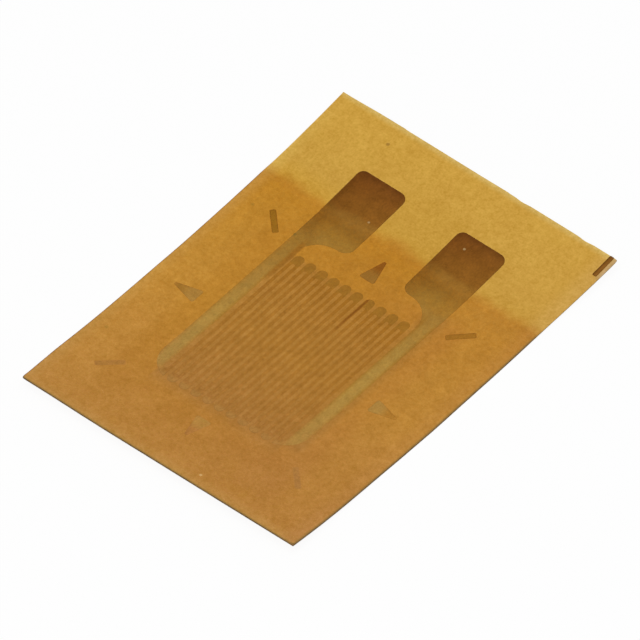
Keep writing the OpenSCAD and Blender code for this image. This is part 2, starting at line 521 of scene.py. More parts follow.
def mottled(tree, place, colour, strength):
    """The colour with patches and grain, lighter and darker by about this share."""
    for kind in (PATCHES, GRAIN):
        total = 0.0
        for scale, weight in kind["layers"]:
            total = calc(tree, "MULTIPLY_ADD", grain(tree, place, scale), weight, total)
        middle = sum(weight for _, weight in kind["layers"]) / 2
        spread = {"Value": total, "From Min": middle - noise_spread}
        spread["From Max"] = middle + noise_spread
        shade = add_node(tree, "ShaderNodeMapRange", spread).outputs[0]
        dark = (*[1 - strength * part for part in kind["reach"]], 1)
        light = (*[1 + strength * part for part in kind["reach"]], 1)
        colour = blend(tree, 1.0, colour, blend(tree, shade, dark, light), "MULTIPLY")
    return colour


def rim_band(tree, colour, strength):
    """The colour, browner in a narrow band along the cut edges."""
    rim = add_node(tree, "ShaderNodeAttribute", attribute_name="rim").outputs["Fac"]
    share = calc(tree, "MULTIPLY", ramp(tree, rim, 0.1, 1.0), strength)
    return blend(tree, share, colour, EDGE_BROWN)


print("clouds and grain from", len(PATCHES["layers"]) + len(GRAIN["layers"]), "layers of noise")

# %% [markdown]
# ## Zones of the film
# Some changes of tone belong to a place: the painted shade in the gaps of the grid and in a band
# beside the right lead, a darker streak by the left lead, a speck of dust. Each could be painted by
# hand on an image, but the gauge has no image textures. A zone is a product of ramps instead: one
# inside, zero outside, with soft ends.


# %% Helpers for zones
def inside(tree, value, low, high, soft):
    """One between low and high, zero outside, with soft ends."""
    rise = ramp(tree, value, low - soft, low)
    return calc(tree, "MULTIPLY", rise, ramp(tree, value, high + soft, high))


def grid_zone(tree, x, y):
    """One between the leads, with a soft end at the far loops, zero outside."""
    across = ramp(tree, calc(tree, "ABSOLUTE", x), 2.2, 2.08)
    along = calc(tree, "MULTIPLY", ramp(tree, y, 2.84, 2.62), ramp(tree, y, -3.3, -2.5))
    return calc(tree, "MULTIPLY", across, along)


def left_lead_streak(tree, x, y):
    """One along the left lead's inner edge, where film and lead are darker, zero elsewhere."""
    along = calc(tree, "MULTIPLY", ramp(tree, y, 1.45, 1.9), ramp(tree, y, 3.5, 3.0))
    return calc(tree, "MULTIPLY", inside(tree, x, -2.1, -2.03, 0.07), along)


def line_streaks(tree, place):
    """Lighter and darker streaks along the grid lines, from 0 to 1."""
    return ramp(tree, grain(tree, place, 1.0, 2.0, (20.0, 9.0, 1.0)), 0.28, 0.72)


def speck(tree, place, x, y, radius):
    """One inside a small spot, zero outside it."""
    flat = add_node(tree, "ShaderNodeVectorMath", {0: place, 1: (1, 1, 0)}, operation="MULTIPLY")
    spot = {0: flat.outputs[0], 1: (x, y, 0)}
    away = add_node(tree, "ShaderNodeVectorMath", spot, operation="DISTANCE").outputs["Value"]
    return ramp(tree, away, radius, radius * 0.45)


print("zones:", ", ".join(zone.__name__ for zone in (inside, grid_zone, left_lead_streak, speck)))

# %% [markdown]
# ## The film's upper face
# Here the tones and zones come together. One huge mix of everything would be hard to read and to
# mend, so the colour is built up as a painter does it: broad tones first, then the zones over them,
# then the margins, the clouds and the specks. The broad tones are a helper, because the underside
# shares them, and so are the relief and the sheen, which the cover film needs too. A narrow margin
# along the cut edges is paler, where the film bends a little to the light.


# %% Broad tones of the film
def broad_tones(tree, x, y):
    """The film's colour without zones: along both sides, and browner round the foil."""
    across = ramp(tree, x, -4.5, 4.5)
    colour = blend(tree, across, tones(tree, y, LEFT_TONES), tones(tree, y, RIGHT_TONES))
    # Painted shade: browner round the foil, where light is partly caught under the metal.
    along = calc(tree, "MULTIPLY", ramp(tree, y, -5.4, -3.0), ramp(tree, y, 4.0, 3.2))
    near = calc(tree, "MULTIPLY", inside(tree, x, -2.9, 2.9, 0.7), along)
    return blend(tree, near, colour, tones(tree, x, NEAR_TONES))


print(len(NEAR_TONES), "tones across the film near the foil")

# %% Relief and sheen of a film
relief_depth = 0.01 * MM
relief_strength = 0.12
film_gloss = 0.1


def film_surface(tree, shader, place, colour):
    """Wires a film's colour, with a fine relief and an uneven sheen."""
    tree.links.new(colour, shader.inputs["Base Color"])
    relief = {"Height": grain(tree, place, 14.0, 3.0)}
    relief["Strength"] = relief_strength
    relief["Distance"] = relief_depth
    bump = add_node(tree, "ShaderNodeBump", relief)
    tree.links.new(bump.outputs[0], shader.inputs["Normal"])
    tree.links.new(ramp(tree, grain(tree, place, 2.5, 2.0), -0.6, 1.6), shader.inputs["Roughness"])
    shader.inputs["Specular IOR Level"].default_value = film_gloss


print("relief of a film", relief_depth / MM, "mm deep")

# %% Colours of the upper face
amber_film, tree, shader = new_finish("amber_film")
place, x, y = place_on_gauge(tree)
colour = broad_tones(tree, x, y)
between = calc(tree, "MULTIPLY", inside(tree, x, -0.7, 0.7, 0.6), inside(tree, y, 3.6, 6.2, 0.5))
colour = blend(tree, between, colour, tones(tree, y, MIDDLE_TONES))
# Painted shade: the film is browner in the gaps of the grid and in a band just right of the right
# lead.
lead_shadow_band = calc(tree, "MULTIPLY", inside(tree, x, 2.1, 2.5, 0.28), inside(tree, y, -2.4, 3.3, 0.4))
zone = grid_zone(tree, x, y)
colour = blend(tree, calc(tree, "MAXIMUM", zone, lead_shadow_band), colour, tones(tree, x, GRID_TONES))
# A darker streak along the left lead's inner edge.
dark_streak = calc(tree, "MULTIPLY", left_lead_streak(tree, x, y), 0.9)
colour = blend(tree, dark_streak, colour, STREAK_BROWN)
uneven = calc(tree, "MULTIPLY", zone, 0.03)
colour = blend(tree, uneven, colour, line_streaks(tree, place), "OVERLAY")
print("upper face:", len(tree.nodes), "nodes for tones and zones")

# %% Margins, specks and finish of the upper face
DUST_BROWN = tint(120, 82, 34)
film_mottle = 0.21
film_rim = 0.55
# Painted sheen: paler margins along the left, far and right cut edges and at the tab end, where the
# film bends a little to the light.
left_margin = calc(tree, "MULTIPLY", ramp(tree, x, -4.08, -4.55), ramp(tree, y, 8.5, 3.4))
far_margin = ramp(tree, y, -4.95, -5.3)
margin = calc(tree, "MAXIMUM", left_margin, calc(tree, "MULTIPLY", far_margin, 0.7))
colour = blend(tree, margin, colour, PALE_MARGIN)
right_margin = calc(tree, "MULTIPLY", ramp(tree, x, 4.1, 4.6), 0.6)
colour = blend(tree, right_margin, colour, RIGHT_MARGIN)
colour = blend(tree, ramp(tree, y, 7.6, 7.82), colour, PALE_TAB_END)
corner = calc(tree, "MULTIPLY", ramp(tree, x, 4.64, 4.73), ramp(tree, y, 6.9, 7.15))
colour = blend(tree, calc(tree, "MULTIPLY", corner, 0.8), colour, PALE_CORNER)
colour = mottled(tree, place, colour, film_mottle)
dot = calc(tree, "MULTIPLY", speck(tree, place, -2.51, 7.17, 0.07), 0.5)
colour = blend(tree, dot, colour, DUST_BROWN)
colour = rim_band(tree, colour, film_rim)
film_surface(tree, shader, place, colour)
print("made", amber_film.name, "with", len(tree.nodes), "nodes")

# %% [markdown]
# ## The film's underside
# From below, the foil shows through the film as a faint darker shape: grid, leads and tabs without
# their fine lines. A see-through film would need the foil's own underside to be right as well, so
# the shape is blended into the colour, from zones of the same sizes.

# %% Finish of the underside
FOIL_SHADE = tint(160, 121, 58)
shade_soft = 0.08
amber_underside, tree, shader = new_finish("amber_underside")
place, x, y = place_on_gauge(tree)
wide = calc(tree, "ABSOLUTE", x)
grid_shade = calc(tree, "MULTIPLY", ramp(tree, wide, 2.6, 2.5), inside(tree, y, -2.7, 2.7, shade_soft))
tab_across = inside(tree, wide, 0.9, 2.5, shade_soft)
tab_shade = calc(tree, "MULTIPLY", tab_across, inside(tree, y, 3.6, 6.15, shade_soft))
lead_across = inside(tree, wide, 2.1, 2.5, shade_soft)
lead_shade = calc(tree, "MULTIPLY", lead_across, inside(tree, y, 2.6, 3.7, shade_soft))
shade = calc(tree, "MAXIMUM", calc(tree, "MAXIMUM", grid_shade, tab_shade), lead_shade)
colour = blend(tree, calc(tree, "MULTIPLY", shade, 0.7), broad_tones(tree, x, y), FOIL_SHADE)
colour = mottled(tree, place, colour, film_mottle)
colour = rim_band(tree, colour, film_rim)
film_surface(tree, shader, place, colour)
print("made", amber_underside.name, "with", len(tree.nodes), "nodes")

# %% [markdown]
# ## The cut edge
# Seen from the side, a film looks darker than from above: the light has a long way through the
# plastic, and the knife left the edge rough. Beyond the cover the edge is thinner and paler. A mask
# in the film's own material could find the edge by its direction, but the wall of the sheet has a
# slot of its own, so a second, simpler material does it.

# %% Finish of the cut edge
CUT_DARK = tint(94, 68, 34)
CUT_LIGHT = tint(130, 98, 54)
CUT_BARE = tint(172, 138, 80)
cut_edge, tree, shader = new_finish("cut_edge")
place, x, y = place_on_gauge(tree)
streaks = ramp(tree, grain(tree, place, 6.0, 3.0, (1.0, 1.0, 0.2)), 0.3, 0.7)
colour = blend(tree, streaks, CUT_DARK, CUT_LIGHT)
past_cover = ramp(tree, y, cover_front - 0.5, cover_front + 0.3)
colour = blend(tree, past_cover, colour, CUT_BARE)
tree.links.new(colour, shader.inputs["Base Color"])
shader.inputs["Roughness"].default_value = 0.6
shader.inputs["Specular IOR Level"].default_value = 0.15
print("made", cut_edge.name, "with", len(tree.nodes), "nodes")

# %% [markdown]
# ## The backing film
# The lowest layer carries everything. Its CAD solid could stay and just get the new finish, but its
# ends are made of narrow flats and its edges are straight. The sheet replaces it, with the same size
# and curl, and adds what a solid of a few flat faces can't have: a smooth curl and hand-cut edges.
# Extra columns stand where the blade left a step, so that the step stays sharp.

# %% Backing film
step_run = 0.03
blade_columns = []
for step_x, _ in BLADE_STEPS:
    blade_columns += [step_x * MM, (step_x + step_run) * MM]
columns = spaced(film_low.x, film_high.x, sheet_step, blade_columns)
rows = spaced(film_low.y, film_high.y, sheet_step)
sheet = sheet_mesh(
    columns,
    rows,
    lambda x, y: curl_height(y, 0.0),
    lambda x, y: curl_height(y, backing_top),
    under_slot=2,
)
backing = link_piece("backing_sheet", sheet, [amber_film, cut_edge, amber_underside])
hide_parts("backing_film")
print(backing.name, len(backing.data.polygons), "faces")

# %% [markdown]
# ## Drawing the foil's outline
# The grid, the end loops, the leads and the tabs are one piece of foil, so they have one closed
# outline. A curve object could hold it, but it is easier to walk round the outline with a pen: a
# list of corners, each with the radius that rounds it. The walk goes up one side, along the comb of
# slots at the tab end, down the other side, and back along the comb at the far end. On this gauge
# the tabs' tips lean a few hundredths of a millimetre to the left, because the film is a little
# warped there.

# %% Sizes of the grid
line_count = 20
line_w = 0.1
line_pitch = 0.2
base_half = 2.5
loop_r = 0.145
slot_r = 0.04
loop_end = -foil_low.y / MM
near_dome = loop_end + 0.04
far_dome = loop_end + 0.025
grid_half = (line_count * line_pitch - (line_pitch - line_w)) / 2


def line_left(i):
    """The left edge of grid line i."""
    return -grid_half + i * line_pitch


print("grid", 2 * grid_half, "mm wide, loops end at", round(loop_end, 3), "mm")

# %% Corners of the tabs and leads
lead_in = grid_half + 0.13
lead_out = foil_high.x / MM
tab_in = 0.9
tab_heel = 3.6
tab_tip = foil_high.y / MM
heel_out_r = 0.8
heel_in_r = 0.3
foot_r = 0.85
foot_steps = 12
lean_from = 4.2
RIGHT_TIP = {"radii": (0.2, 0.27), "leans": (-0.05, -0.025)}
LEFT_TIP = {"radii": (0.27, 0.2), "leans": (-0.02, -0.04)}


def tab_corners(side):
    """Corners of the right tab and lead from its inner foot, or of the left one mirrored."""
    tip = RIGHT_TIP if side > 0 else LEFT_TIP
    in_r, out_r = tip["radii"]
    in_lean, out_lean = tip["leans"]
    corners = [
        (side * lead_in, -base_half, slot_r),
        (side * lead_in, tab_heel, heel_out_r),
        (side * tab_in, tab_heel, heel_in_r),
        (side * tab_in + in_lean, tab_tip, in_r),
        (side * lead_out + out_lean, tab_tip, out_r),
        (side * lead_out, lean_from, 0.0),
    ]
    turn_x = lead_out - foot_r
    sweep = math.acos((line_left(line_count - 1) - turn_x) / foot_r)
    for step in range(foot_steps + 1):
        angle = sweep * step / foot_steps
        low_y = -loop_end + foot_r - foot_r * math.sin(angle)
        corners.append((side * (turn_x + foot_r * math.cos(angle)), low_y, 0.0))
    return corners


print("tabs", round(lead_out - tab_in, 2), "mm wide,", len(tab_corners(1)), "corners each")


# %% Walk round the foil
def foil_corners():
    """The whole walk round the foil, from the left lead's foot."""
    walk = list(reversed(tab_corners(-1)))
    for i in range(0, line_count, 2):
        walk.append((line_left(i), -base_half, slot_r))
        walk.append((line_left(i), near_dome, loop_r))
        walk.append((line_left(i + 1) + line_w, near_dome, loop_r))
        walk.append((line_left(i + 1) + line_w, -base_half, slot_r))
    walk += tab_corners(1)
    for i in range(line_count - 1, 0, -2):
        walk.append((line_left(i), base_half, slot_r))
        walk.append((line_left(i - 1) + line_w, base_half, slot_r))
        if i > 1:
            walk.append((line_left(i - 1) + line_w, -far_dome, loop_r))
            walk.append((line_left(i - 2), -far_dome, loop_r))
    return walk


print(len(foil_corners()), "corners round the foil")

# %% [markdown]
# ## From outline to etched foil
# Etching eats the foil from above, so its edge is a short slope and not a wall. An Inset of the
# outline gives exactly that: the inner ring is lifted to the foil's top, and the outer ring stays
# on the film. The outer ring is also marked in a vertex attribute, so that the material can darken
# the slope. A Bevel modifier would give a slope too, but its ring isn't there until the modifier has
# run, so it couldn't be marked here. The flat piece is then cut into rows and each row is lifted by
# the curl formula.


# %% Rounded outline
def rounded(corners, steps=7):
    """The outline through the corners, with an arc at each rounded one."""
    points = []
    for k in range(len(corners)):
        corner = Vector(corners[k][:2])
        radius = corners[k][2]
        if radius == 0:
            points.append(corner)
            continue
        back = (Vector(corners[k - 1][:2]) - corner).normalized()
        ahead = (Vector(corners[(k + 1) % len(corners)][:2]) - corner).normalized()
        half = back.angle(ahead) / 2
        centre = corner + (back + ahead).normalized() * radius / math.sin(half)
        first = corner + back * radius / math.tan(half) - centre
        last = corner + ahead * radius / math.tan(half) - centre
        for step in range(steps + 1):
            points.append(centre + first.slerp(last, step / steps).normalized() * radius)
    return points


print(len(rounded(foil_corners())), "points round the foil")


# %% Helper that slopes the edges
def sloped_foil(outline, slope):
    """A closed flat piece of foil, in mm, with sloping edges whose feet are marked."""
    base = backing_top / MM
    bm = bmesh.new()
    mark = bm.verts.layers.float.new("etched_edge")
    face = bm.faces.new([bm.verts.new((p.x, p.y, base)) for p in outline])
    face.normal_update()
    if face.normal.z < 0:
        face.normal_flip()
    ring = {"thickness": slope, "use_even_offset": True, "use_boundary": True}
    bmesh.ops.inset_region(bm, faces=[face], **ring)
    rim = [e for e in bm.edges if e.is_boundary]
    outer = {v for e in rim for v in e.verts}
    for v in bm.verts:
        v[mark] = 1.0 if v in outer else 0.0
        v.co.z = base if v in outer else foil_top / MM
    for part in bmesh.ops.extrude_edge_only(bm, edges=rim)["geom"]:
        if isinstance(part, bmesh.types.BMVert):
            part.co.z = base - bite / MM
            part[mark] = 1.0
    bmesh.ops.holes_fill(bm, edges=[e for e in bm.edges if e.is_boundary], sides=0)
    return bm


print("slopes rise by", round((foil_top - backing_top) / MM, 4), "mm")

# %% Helper that etches a piece
row_step = 0.25
cut_slack = 1e-5


def etched_mesh(outline, slope):
    """A piece of foil with sloping edges, drawn in mm, cut into rows and bent in metres."""
    bm = sloped_foil(outline, slope)
    many_sided = [f for f in bm.faces if len(f.verts) > 4]
    bmesh.ops.triangulate(bm, faces=many_sided, ngon_method="EAR_CLIP")
    low = min(v.co.y for v in bm.verts)
    high = max(v.co.y for v in bm.verts)
    across = {"plane_no": (0, 1, 0), "dist": cut_slack}
    for y in spaced(low, high, row_step)[1:-1]:
        parts = bm.verts[:] + bm.edges[:] + bm.faces[:]
        bmesh.ops.bisect_plane(bm, geom=parts, plane_co=(0, y, 0), **across)
    for v in bm.verts:
        x, y, layer = v.co * MM
        v.co = (x, y, curl_height(y, layer))
    bmesh.ops.recalc_face_normals(bm, faces=bm.faces[:])
    return bm


print("etched pieces have a row every", row_step, "mm")

# %% [markdown]
# ## The foil's finish
# The foil is a copper-nickel alloy. Bare, at the tabs' tips, it has gone dark brown; under the
# orange film it looks like dull olive brass, paler towards the far end, where it catches more
# light. A material each for tabs, leads and lines would meet the next one in a hard border. One
# material does it all: the place along the gauge chooses between the tones, fine streaks show how
# the foil was rolled, and the marked slope darkens every edge.

# %% Finish of the foil
WHITE_SPECKS = [(-1.23, 4.86, 0.045), (1.33, 5.70, 0.05)]
DUST_WHITE = tint(200, 168, 116)
rolled_share = 0.12
tarnish_share = 0.06
rolled_relief = 0.004 * MM
foil_gloss = 0.1


def foil_finish(name, bare_tone, covered_tone, edge_stops):
    """A foil material from its colours where it is bare and under the cover.

    edge_stops are places along y, each with an edge tint there and the tint's share.
    """
    finish, tree, shader = new_finish(name)
    place, x, y = place_on_gauge(tree)
    hidden = under_cover(tree, place, x, y)
    colour = blend(tree, hidden, bare_tone(tree, x, y), covered_tone(tree, place, x, y))
    rolled = ramp(tree, grain(tree, place, 1.0, 4.0, (22.0, 12.0, 1.0)), 0.25, 0.75)
    colour = blend(tree, rolled_share, colour, rolled, "OVERLAY")
    tarnish = ramp(tree, grain(tree, place, 4.0, 3.0), 0.25, 0.75)
    colour = blend(tree, tarnish_share, colour, tarnish, "OVERLAY")
    for speck_x, speck_y, radius in WHITE_SPECKS:
        spot = calc(tree, "MULTIPLY", speck(tree, place, speck_x, speck_y, radius), 0.7)
        colour = blend(tree, spot, colour, DUST_WHITE)
    # Painted shade along the marked slopes: they take the edge tint by the share set along y, a paler
    # tint at the far end of the marks.
    slope = add_node(tree, "ShaderNodeAttribute", attribute_name="etched_edge").outputs["Fac"]
    shares = tones(tree, y, [(at, (share, share, share, 1)) for at, _, share in edge_stops])
    edge_tint = tones(tree, y, [(at, stop_tint) for at, stop_tint, _ in edge_stops])
    colour = blend(tree, calc(tree, "MULTIPLY", slope, shares), colour, edge_tint)
    tree.links.new(colour, shader.inputs["Base Color"])
    tree.links.new(ramp(tree, tarnish, -1.2, 2.6), shader.inputs["Roughness"])
    metal = calc(tree, "MULTIPLY_ADD", hidden, -0.25, 0.35)
    tree.links.new(metal, shader.inputs["Metallic"])
    shader.inputs["Specular IOR Level"].default_value = foil_gloss
    relief = {"Height": rolled, "Strength": 0.08, "Distance": rolled_relief}
    bump = add_node(tree, "ShaderNodeBump", relief)
    tree.links.new(bump.outputs[0], shader.inputs["Normal"])
    return finish


print("foil finish with", len(WHITE_SPECKS), "specks of dust on the tabs")

# %% [markdown]
# ## Tones of the pattern
# Along the gauge the pattern's tone changes step by step. A Mix node knows only two colours, so a
# Color Ramp node is the better tool: a row of colours at chosen places. The bare tabs, the heels and
# the leads under the cover, and the fine grid lines have ramps of their own. The tabs carry painted
# shade along their left sides and tips, the leads painted shade at their edges, and one grid line
# is stained dark near its loop.

# %% Tones of the bare tabs
BARE_TONES = [
    (4.6, tint(151, 98, 31)),
    (5.2, tint(146, 93, 29)),
    (5.7, tint(136, 83, 25)),
    (6.1, tint(125, 74, 23)),
]
TAB_RIM = tint(92, 45, 0)
TAB_PALE = tint(168, 114, 38)
tab_middle = (tab_in + lead_out) / 2
tab_half = (lead_out - tab_in) / 2


def across_tab(tree, x):
    """Distance from the middle of the tab on this side, towards the right."""
    return calc(tree, "MULTIPLY_ADD", calc(tree, "SIGN", x), -tab_middle, x)


def tab_tone(tree, x, y):
    """Bare foil, darkest at the tip, paler from each tab's left side to its right side."""
    tone = tones(tree, y, BARE_TONES)
    # Painted shade and light: each tab is darker along its left side, the left tab more so, and paler
    # towards its right side; a darker rim runs along its left side and tip.
    across = across_tab(tree, x)
    left_share = calc(tree, "MULTIPLY_ADD", calc(tree, "SIGN", x), -0.09, 0.19)
    left = calc(tree, "MULTIPLY", ramp(tree, across, 0.3, -tab_half), left_share)
    tone = blend(tree, left, tone, TAB_RIM)
    warm = calc(tree, "MULTIPLY", ramp(tree, x, 1.1, 2.2), 0.14)
    tone = blend(tree, warm, tone, TAB_PALE)
    pale_share = calc(tree, "MULTIPLY", ramp(tree, y, 4.5, 6.1), 0.15)
    pale = calc(tree, "MULTIPLY", ramp(tree, across, tab_half - 0.2, tab_half - 0.04), pale_share)
    tone = blend(tree, pale, tone, TAB_PALE)
    to_left = calc(tree, "ADD", across, tab_half)
    to_rim = calc(tree, "MINIMUM", to_left, calc(tree, "SUBTRACT", tab_tip, y))
    rim = calc(tree, "MULTIPLY", ramp(tree, to_rim, 0.17, 0.03), 0.2)
    return blend(tree, rim, tone, TAB_RIM)


print(len(BARE_TONES), "tones along the bare tabs")

# %% Tones of the heels
HEEL_TONES = [
    (3.4, tint(154, 141, 66)),
    (3.85, tint(151, 138, 61)),
    (4.3, tint(116, 110, 47)),
    (4.6, tint(146, 126, 57)),
]
HEEL_DARK = tint(40, 62, 20)
HEEL_PALE = tint(190, 150, 60)


def heel_tone(tree, x, y):
    """Olive heel under the cover, darker at each tab's left side, paler at the far right."""
    tone = tones(tree, y, HEEL_TONES)
    # Painted shade and light: each heel is darker at its tab's left side, and the right heel is paler
    # towards its right side.
    dark = calc(tree, "MULTIPLY", ramp(tree, across_tab(tree, x), 0.0, -0.7), 0.5)
    tone = blend(tree, dark, tone, HEEL_DARK)
    pale = calc(tree, "MULTIPLY", ramp(tree, x, 1.75, 2.3), 0.25)
    return blend(tree, pale, tone, HEEL_PALE)


print(len(HEEL_TONES), "tones along the heels")

# %% Tones of the leads
LEAD_TONES = [
    (-3.3, tint(184, 163, 80)),
    (-0.5, tint(181, 167, 85)),
    (1.0, tint(173, 160, 80)),
    (2.6, tint(161, 147, 72)),
    (4.0, tint(143, 133, 60)),
]
LEAD_EDGE_TONES = [
    (-2.5, tint(182, 150, 70)),
    (0.0, tint(168, 144, 60)),
    (3.2, tint(150, 128, 52)),
]
FOOT_TONE = tint(187, 156, 74)
lead_middle = (lead_in + lead_out) / 2
left_lift = 0.35


# Painted light and shade: ramps along this measure make the foil paler towards the far end and the
# right, where it catches more light.
def slant(tree, x, y):
    """A measure that rises towards the tab end and, more slowly, towards the left."""
    return calc(tree, "MULTIPLY_ADD", x, -left_lift, y)


def lead_tone(tree, x, y):
    """Pale leads with browner edges and feet, and a darker streak by the left one's inner edge."""
    wide = calc(tree, "ABSOLUTE", x)
    off_middle = calc(tree, "ABSOLUTE", calc(tree, "SUBTRACT", wide, lead_middle))
    # Painted shade: the leads are browner towards their edges.
    edge = calc(tree, "MULTIPLY", ramp(tree, off_middle, 0.08, 0.22), ramp(tree, y, 3.5, 3.0))
    tone = tones(tree, slant(tree, x, y), LEAD_TONES)
    tone = blend(tree, ramp(tree, y, -2.3, -2.75), tone, FOOT_TONE)
    tone = blend(tree, edge, tone, tones(tree, y, LEAD_EDGE_TONES))
    dark_streak = calc(tree, "MULTIPLY", left_lead_streak(tree, x, y), 0.6)
    return blend(tree, dark_streak, tone, STREAK_BROWN)


print(len(LEAD_TONES), "tones along the leads")

# %% Tones of the grid lines
# Painted light: the lines turn paler towards the far end, where the foil catches more light.
LINE_TONES = [
    (-2.68, tint(178, 148, 72)),
    (-2.56, tint(171, 135, 58)),
    (-2.3, tint(174, 136, 57)),
    (-1.2, tint(168, 131, 53)),
    (0.3, tint(162, 126, 50)),
    (1.3, tint(159, 123, 48)),
    (2.4, tint(150, 117, 40)),
    (2.55, tint(143, 121, 46)),
]
STAIN = tint(72, 46, 12)
stain_x = 0.5
streak_share = 0.07


def line_tone(tree, place, x, y):
    """Fine brown lines, streaked along their length, one of them stained."""
    tone = tones(tree, y, LINE_TONES)
    tone = blend(tree, streak_share, tone, line_streaks(tree, place), "OVERLAY")
    off_stain = calc(tree, "ABSOLUTE", calc(tree, "SUBTRACT", x, stain_x))
    stain = calc(tree, "MULTIPLY", ramp(tree, off_stain, 0.05, 0.01), ramp(tree, y, 0.9, 2.1))
    return blend(tree, calc(tree, "MULTIPLY", stain, 0.8), tone, STAIN)


print(len(LINE_TONES), "tones along the lines")

# %% Finish of the pattern
SLOPE_DARK = tint(66, 40, 14)


def pattern_tone(tree, place, x, y):
    """Olive heels, paler leads and fine brown grid lines."""
    heel = ramp(tree, y, 3.3, 3.7)
    lead = blend(tree, heel, lead_tone(tree, x, y), heel_tone(tree, x, y))
    wide = calc(tree, "ABSOLUTE", x)
    in_grid = calc(tree, "MULTIPLY", ramp(tree, wide, 2.05, 1.98), ramp(tree, y, 3.1, 3.0))
    return blend(tree, in_grid, lead, line_tone(tree, place, x, y))


pattern_edges = (
    (-2.7, SLOPE_DARK, 0.42),
    (-2.3, SLOPE_DARK, 0.12),
    (2.6, SLOPE_DARK, 0.12),
    (4.8, SLOPE_DARK, 0.7),
)
etched_foil = foil_finish("etched_foil", tab_tone, pattern_tone, pattern_edges)
print("made", etched_foil.name, "with", len(etched_foil.node_tree.nodes), "nodes")

# %% [markdown]
# ## The grid, leads and tabs
# The heart of the gauge: twenty lines, each a tenth of a millimetre wide. When the test piece
# stretches, they get longer and thinner, and their resistance rises. The lines could be a stripe
# pattern in a material, but then they would have no edges to catch the light. They are geometry:
# the outline, etched by the helper.

# %% Foil pattern
pattern_slope = 0.018
pattern = etched_mesh(rounded(foil_corners()), pattern_slope)
foil = link_piece("foil_pattern", pattern, [etched_foil])
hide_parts("foil_grid")
print(foil.name, len(foil.data.polygons), "faces")

# %% [markdown]
# ## Position marks
# Four triangles show the grid's axes and four short strokes point at its corners; they help to put
# the gauge in the right place. A bar in one corner shows where the film is cut. Their corners
# could be typed in as numbers, but here they follow from the boxes of their CAD solids, so the marks
# stay right if the CAD model changes.

# %% Corners of a triangle
tip_w = 0.08
tip_r = 0.038
base_r = 0.06


def triangle(node, toward):
    """Corners of a triangle that fills the node's box and points along toward, its tip blunt."""
    low, high = (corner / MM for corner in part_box(node))
    middle = (low + high) / 2
    half = Vector((toward.y, toward.x)) * tip_w / 2
    if toward.x:
        tip = Vector((high.x if toward.x > 0 else low.x, middle.y))
        base = low.x if toward.x > 0 else high.x
        ends = [(base, low.y, base_r), (base, high.y, base_r)]
    else:
        tip = Vector((middle.x, high.y if toward.y > 0 else low.y))
        base = low.y if toward.y > 0 else high.y
        ends = [(low.x, base, base_r), (high.x, base, base_r)]
    if (toward.x + toward.y) < 0:
        half = -half
    return [ends[0], ends[1], (*(tip + half), tip_r), (*(tip - half), tip_r)]


TRIANGLES = {
    "tab_end_mark": Vector((0, 1)),
    "far_end_mark": Vector((0, -1)),
    "left_side_mark": Vector((-1, 0)),
    "right_side_mark": Vector((1, 0)),
}
mark_corners = {node: triangle(node, toward) for node, toward in TRIANGLES.items()}
print(len(mark_corners), "triangles")

# %% Corners of the strokes and the bar
STROKES = ["tab_left_diagonal", "tab_right_diagonal", "far_left_diagonal", "far_right_diagonal"]
stroke_w = 0.18
stroke_r = 0.04
bar_r = 0.035


def stroke(node):
    """Corners of a stroke at 45 degrees, leaning away from the grid's centre."""
    low, high = (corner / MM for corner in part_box(node))
    side_x = math.copysign(1, low.x)
    side_y = math.copysign(1, low.y)
    cut = stroke_w / math.sqrt(2)
    near = Vector((low.x if side_x > 0 else high.x, low.y if side_y > 0 else high.y))
    end = Vector((high.x if side_x > 0 else low.x, high.y if side_y > 0 else low.y))
    return [
        (near.x + side_x * cut, near.y, stroke_r),
        (end.x, end.y - side_y * cut, stroke_r),
        (end.x - side_x * cut, end.y, stroke_r),
        (near.x, near.y + side_y * cut, stroke_r),
    ]


def bar(node):
    """Corners of a bar that fills the node's box."""
    low, high = (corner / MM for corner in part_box(node))
    around = ((low.x, low.y), (high.x, low.y), (high.x, high.y), (low.x, high.y))
    return [(*corner, bar_r) for corner in around]


for node in STROKES:
    mark_corners[node] = stroke(node)
mark_corners["trim_mark"] = bar("trim_mark")
print(len(mark_corners), "marks in all")

# %% [markdown]
# ## The marks' finish
# The marks are islands of the same foil, but each is a few tenths of a millimetre small, so its tone
# depends on where it lies: darkest near the tabs and almost gone at the far end, a painted light
# gradient like the pattern's. One material for each mark would do, but two are enough, one for the
# triangles and the trim mark and one for the strokes, if their tones follow the place.

# %% Tones of the triangles and the trim mark
TRIANGLE_TONES = [
    (-3.5, tint(200, 166, 74)),
    (-1.1, tint(180, 160, 84)),
    (1.1, tint(175, 152, 76)),
    (3.4, tint(131, 118, 55)),
]
TRIANGLE_TIP_TONES = [
    (-3.8, tint(192, 146, 64)),
    (-1.2, tint(182, 142, 57)),
    (1.2, tint(148, 126, 51)),
    (3.7, tint(104, 79, 29)),
]
TRIM_BROWN = tint(145, 95, 34)
TIP_PALE = tint(204, 158, 66)


def trim_tone(tree, x, y):
    """The bare trim mark, lighter than the tabs; its left side is darker."""
    left = calc(tree, "MULTIPLY", ramp(tree, x, 4.62, 4.55), 0.5)
    return blend(tree, left, TRIM_BROWN, TAB_RIM)


def triangle_tone(tree, place, x, y):
    """Olive at the base, brown at the tip, paler towards the far end and at the side tips."""
    wide = calc(tree, "ABSOLUTE", x)
    out = calc(tree, "MAXIMUM", wide, calc(tree, "SUBTRACT", calc(tree, "ABSOLUTE", y), 0.3))
    base = tones(tree, slant(tree, x, y), TRIANGLE_TONES)
    tip = tones(tree, slant(tree, x, y), TRIANGLE_TIP_TONES)
    tip = blend(tree, calc(tree, "MULTIPLY", ramp(tree, wide, 3.6, 3.82), 0.85), tip, TIP_PALE)
    return blend(tree, ramp(tree, out, 3.22, 3.52), base, tip)


print(len(TRIANGLE_TONES), "tones for the triangles")

